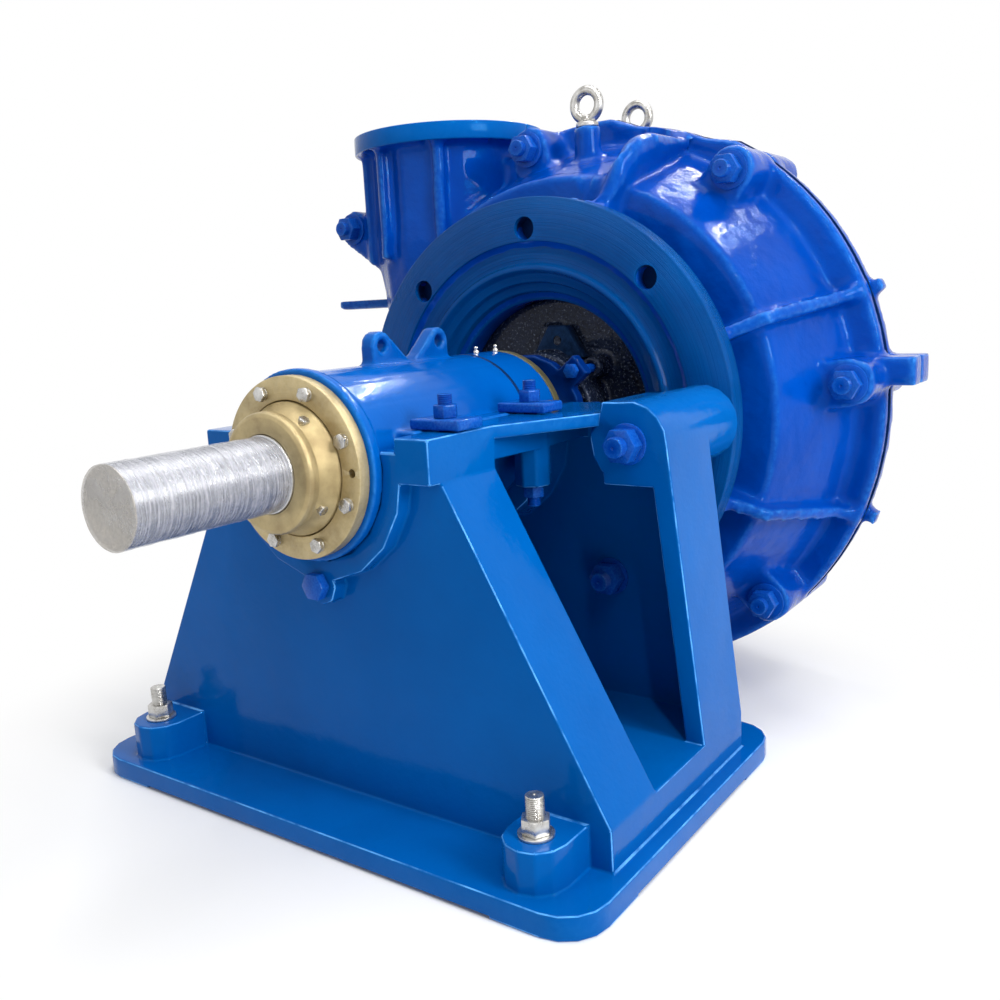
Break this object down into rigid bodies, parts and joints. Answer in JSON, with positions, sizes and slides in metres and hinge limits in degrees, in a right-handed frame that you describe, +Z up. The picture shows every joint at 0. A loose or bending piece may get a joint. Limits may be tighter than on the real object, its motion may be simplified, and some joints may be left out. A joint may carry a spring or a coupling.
{
  "type": "slurry pump",
  "caption": "Horizontal slurry pump: bare shaft in a bearing housing on a welded pedestal, split lined casing with a top discharge nozzle on the left and an axial suction flange.",
  "frame": {"origin": "centre of the bare shaft's end face", "axes": "+Y along the shaft from the drive end to the suction, +Z up, +X to the right seen from the drive end"},
  "size_m": [1.286, 1.491, 1.1226],
  "materials": {
    "adjusting_screw": "glossy blue paint",
    "base_frame": "glossy blue paint",
    "bearing_housing": "glossy blue paint",
    "casing_bolt_1": "glossy blue paint",
    "casing_bolt_2": "glossy blue paint",
    "casing_bolt_3": "glossy blue paint",
    "casing_bolt_4": "glossy blue paint",
    "casing_bolt_5": "glossy blue paint",
    "casing_bolt_6": "glossy blue paint",
    "casing_bolt_7": "glossy blue paint",
    "casing_bolt_8": "glossy blue paint",
    "clamp_bolt_1": "glossy blue paint",
    "clamp_bolt_2": "glossy blue paint",
    "clamp_bolt_3": "glossy blue paint",
    "clamp_bolt_4": "glossy blue paint",
    "clamp_washer_1": "glossy blue paint",
    "clamp_washer_2": "glossy blue paint",
    "clamp_washer_3": "glossy blue paint",
    "clamp_washer_4": "glossy blue paint",
    "cover_plate": "glossy blue paint",
    "discharge_joint_ring": "matt rubber",
    "drive_bearing_inner_race": "ground steel",
    "drive_bearing_outer_race": "ground steel",
    "drive_bearing_rollers": "ground steel",
    "drive_end_cover": "zinc-yellow plated steel",
    "drive_key": "ground steel",
    "drive_labyrinth": "zinc-yellow plated steel",
    "eye_bolt_front": "galvanised steel",
    "eye_bolt_rear": "galvanised steel",
    "frame_bolt_1": "glossy blue paint",
    "frame_bolt_2": "glossy blue paint",
    "frame_bolt_3": "glossy blue paint",
    "frame_bolt_4": "glossy blue paint",
    "frame_plate": "glossy blue paint",
    "frame_plate_liner": "hard cast iron, as cast and ground",
    "gland_bolt_1": "glossy blue paint",
    "gland_bolt_2": "glossy blue paint",
    "gland_clamp_bolt_1": "glossy blue paint",
    "gland_clamp_bolt_2": "glossy blue paint",
    "gland_lower": "glossy blue paint",
    "gland_upper": "glossy blue paint",
    "hold_down_bolt_1": "galvanised steel",
    "hold_down_bolt_2": "galvanised steel",
    "hold_down_bolt_3": "galvanised steel",
    "hold_down_bolt_4": "galvanised steel",
    "impeller": "hard cast iron, as cast and ground",
    "intake_joint_ring": "matt rubber",
    "lantern_ring": "zinc-yellow plated steel",
    "packing_ring_inner": "braided packing",
    "packing_ring_outer": "braided packing",
    "pump_bearing_inner_race": "ground steel",
    "pump_bearing_outer_race": "ground steel",
    "pump_bearing_rollers": "ground steel",
    "pump_end_cover": "zinc-yellow plated steel",
    "pump_labyrinth": "zinc-yellow plated steel",
    "shaft": "ground steel",
    "shaft_sleeve": "hard cast iron, as cast and ground",
    "stuffing_box": "rough cast iron",
    "throatbush": "hard cast iron, as cast and ground",
    "volute_liner": "hard cast iron, as cast and ground"
  },
  "bodies": {
    "casing_and_base": {"base_frame": "base_frame", "casing_bolt_1": "casing_bolt_1", "casing_bolt_2": "casing_bolt_2", "casing_bolt_3": "casing_bolt_3", "casing_bolt_4": "casing_bolt_4", "casing_bolt_5": "casing_bolt_5", "casing_bolt_6": "casing_bolt_6", "casing_bolt_7": "casing_bolt_7", "casing_bolt_8": "casing_bolt_8", "clamp_bolt_1": "clamp_bolt_1", "clamp_bolt_2": "clamp_bolt_2", "clamp_bolt_3": "clamp_bolt_3", "clamp_bolt_4": "clamp_bolt_4", "clamp_washer_1": "clamp_washer_1", "clamp_washer_2": "clamp_washer_2", "clamp_washer_3": "clamp_washer_3", "clamp_washer_4": "clamp_washer_4", "cover_plate": "cover_plate", "discharge_joint_ring": "discharge_joint_ring", "eye_bolt_front": "eye_bolt_front", "eye_bolt_rear": "eye_bolt_rear", "frame_bolt_1": "frame_bolt_1", "frame_bolt_2": "frame_bolt_2", "frame_bolt_3": "frame_bolt_3", "frame_bolt_4": "frame_bolt_4", "frame_plate": "frame_plate", "frame_plate_liner": "frame_plate_liner", "hold_down_bolt_1": "hold_down_bolt_1", "hold_down_bolt_2": "hold_down_bolt_2", "hold_down_bolt_3": "hold_down_bolt_3", "hold_down_bolt_4": "hold_down_bolt_4", "intake_joint_ring": "intake_joint_ring", "lantern_ring": "lantern_ring", "packing_ring_inner": "packing_ring_inner", "packing_ring_outer": "packing_ring_outer", "stuffing_box": "stuffing_box", "throatbush": "throatbush", "volute_liner": "volute_liner"},
    "bearing_assembly": {"bearing_housing": "bearing_housing", "drive_end_cover": "drive_end_cover", "pump_end_cover": "pump_end_cover", "drive_bearing_outer_race": "drive_bearing_outer_race", "pump_bearing_outer_race": "pump_bearing_outer_race"},
    "rotor": {"shaft": "shaft", "drive_key": "drive_key", "drive_labyrinth": "drive_labyrinth", "pump_labyrinth": "pump_labyrinth", "shaft_sleeve": "shaft_sleeve", "impeller": "impeller", "drive_bearing_inner_race": "drive_bearing_inner_race", "pump_bearing_inner_race": "pump_bearing_inner_race"},
    "drive_cage": {"drive_bearing_rollers": "drive_bearing_rollers"},
    "pump_cage": {"pump_bearing_rollers": "pump_bearing_rollers"},
    "adjuster": {"adjusting_screw": "adjusting_screw"},
    "gland": {"gland_upper": "gland_upper", "gland_lower": "gland_lower", "gland_clamp_bolt_1": "gland_clamp_bolt_1", "gland_clamp_bolt_2": "gland_clamp_bolt_2"},
    "gland_screw_1": {"gland_bolt_1": "gland_bolt_1"},
    "gland_screw_2": {"gland_bolt_2": "gland_bolt_2"}
  },
  "joints": [
    {"name": "rotor_spin", "type": "hinge", "parent": "bearing_assembly", "child": "rotor", "pos_m": [0, 0, 0], "axis": [0, 1, 0], "continuous": true},
    {"name": "axial_adjustment", "type": "slide", "parent": "casing_and_base", "child": "bearing_assembly", "axis": [0, 1, 0], "range_m": [-0.008, 0.002]},
    {"name": "drive_cage_spin", "type": "hinge", "parent": "bearing_assembly", "child": "drive_cage", "pos_m": [0, 0.291, 0], "axis": [0, 1, 0], "continuous": true},
    {"name": "pump_cage_spin", "type": "hinge", "parent": "bearing_assembly", "child": "pump_cage", "pos_m": [0, 0.745, 0], "axis": [0, 1, 0], "continuous": true},
    {"name": "adjusting_screw_turn", "type": "hinge", "parent": "casing_and_base", "child": "adjuster", "pos_m": [0, 0.305, -0.167], "axis": [0, 1, 0], "range_deg": [-245, 965]},
    {"name": "gland_travel", "type": "slide", "parent": "casing_and_base", "child": "gland", "axis": [0, 1, 0], "range_m": [-0.012, 0]},
    {"name": "gland_bolt_1_turn", "type": "hinge", "parent": "gland", "child": "gland_screw_1", "pos_m": [0.09959, 0.832, 0.08356], "axis": [0, 1, 0], "range_deg": [-2165, 5]},
    {"name": "gland_bolt_2_turn", "type": "hinge", "parent": "gland", "child": "gland_screw_2", "pos_m": [-0.09959, 0.832, -0.08356], "axis": [0, 1, 0], "range_deg": [-2165, 5]}
  ],
  "couplings": [
    {"joint": "drive_cage_spin", "follows": "rotor_spin", "ratio": 0.4423},
    {"joint": "pump_cage_spin", "follows": "rotor_spin", "ratio": 0.4444},
    {"joint": "adjusting_screw_turn", "follows": "axial_adjustment", "rad_per_m": -2094.4},
    {"joint": "gland_bolt_1_turn", "follows": "gland_travel", "rad_per_m": 3141.6},
    {"joint": "gland_bolt_2_turn", "follows": "gland_travel", "rad_per_m": 3141.6}
  ]
}
